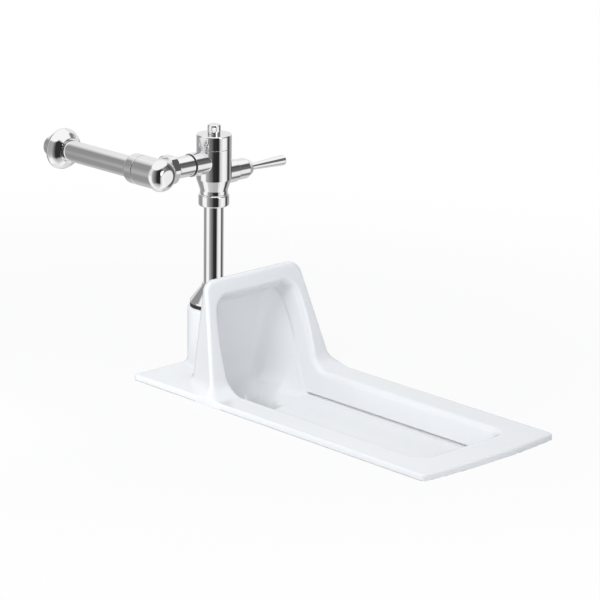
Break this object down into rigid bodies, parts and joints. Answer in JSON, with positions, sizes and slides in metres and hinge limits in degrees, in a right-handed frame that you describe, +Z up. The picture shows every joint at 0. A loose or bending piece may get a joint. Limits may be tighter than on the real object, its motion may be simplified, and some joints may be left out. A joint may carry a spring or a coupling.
{
  "type": "squat toilet",
  "caption": "Glazed china squat toilet let into the floor, with a front hood, a rinsed trough and trap, flushed by a chromed lever valve fed through an angle stop from the wall.",
  "frame": {"origin": "middle of the rim's wall-end edge, at floor level, on the rim's underside", "axes": "+X along the pan towards its user end, +Y towards the flush lever, +Z up"},
  "size_m": [0.87, 0.3155, 0.7443],
  "materials": {
    "china": "glossy white glaze",
    "chrome": "polished",
    "brass": "turned",
    "rubber": "matte",
    "spring_steel": "drawn wire"
  },
  "bodies": {
    "base": {"pan": "china", "spud_cover": "chrome", "flush_pipe": "chrome", "pipe_union_nut": "chrome", "valve_body": "chrome", "top_cap": "chrome", "inlet_tailpiece": "chrome", "inlet_union_nut": "chrome", "stop_body": "chrome", "stop_cap": "chrome", "supply_nut": "chrome", "supply_pipe": "chrome", "wall_flange": "chrome", "handle_cap": "chrome", "spud_body": "brass", "spud_locknut": "brass", "pipe_thrust_ring": "brass", "main_seat": "brass", "stop_bonnet": "brass", "handle_bushing": "brass", "spud_gasket": "rubber", "spud_packing": "rubber", "pipe_packing": "rubber", "cap_gasket": "rubber", "screw_o_ring": "rubber", "inlet_seal": "rubber", "union_packing": "rubber", "spindle_o_ring": "rubber", "supply_packing": "rubber", "handle_packing": "rubber", "plunger_spring": "spring_steel"},
    "lever": {"lever": "chrome"},
    "plunger": {"plunger": "brass"},
    "piston": {"piston": "brass", "seat_washer": "rubber", "piston_cup": "rubber"},
    "relief_valve": {"relief_valve": "brass"},
    "regulating_screw": {"regulating_screw": "chrome"},
    "stop_spindle": {"stop_spindle": "brass"},
    "stop_disc": {"stop_disc": "brass", "stop_washer": "rubber"}
  },
  "joints": [
    {"name": "lever_tilt", "type": "hinge", "parent": "base", "child": "lever", "pos_m": [0.033, 0.068, 0.322], "axis": [-1, 0, 0], "range_deg": [0, 14], "stiffness_Nm_per_rad": 6, "springref_deg": -5.73},
    {"name": "plunger_slide", "type": "slide", "parent": "base", "child": "plunger", "axis": [0, -1, 0], "range_m": [0, 0.0025], "deforming": ["plunger_spring"]},
    {"name": "piston_lift", "type": "slide", "parent": "base", "child": "piston", "axis": [0, 0, 1], "range_m": [0, 0.01]},
    {"name": "relief_tilt", "type": "hinge", "parent": "piston", "child": "relief_valve", "pos_m": [0.033, 0.009, 0.3673], "axis": [-1, 0, 0], "range_deg": [0, 3.5]},
    {"name": "screw_turn", "type": "hinge", "parent": "base", "child": "regulating_screw", "pos_m": [0.033, 0, 0.389], "axis": [0, 0, 1], "range_deg": [-180, 180]},
    {"name": "spindle_turn", "type": "hinge", "parent": "base", "child": "stop_spindle", "pos_m": [0.033, -0.13, 0.345], "axis": [1, 0, 0], "range_deg": [0, 1080]},
    {"name": "disc_slide", "type": "slide", "parent": "base", "child": "stop_disc", "axis": [-1, 0, 0], "range_m": [0, 0.006]}
  ],
  "couplings": [
    {"joint": "plunger_slide", "follows": "lever_tilt", "m_per_rad": 0.01023},
    {"joint": "relief_tilt", "follows": "lever_tilt", "ratio": 0.25},
    {"joint": "spindle_turn", "follows": "disc_slide", "rad_per_m": 3141.6}
  ]
}
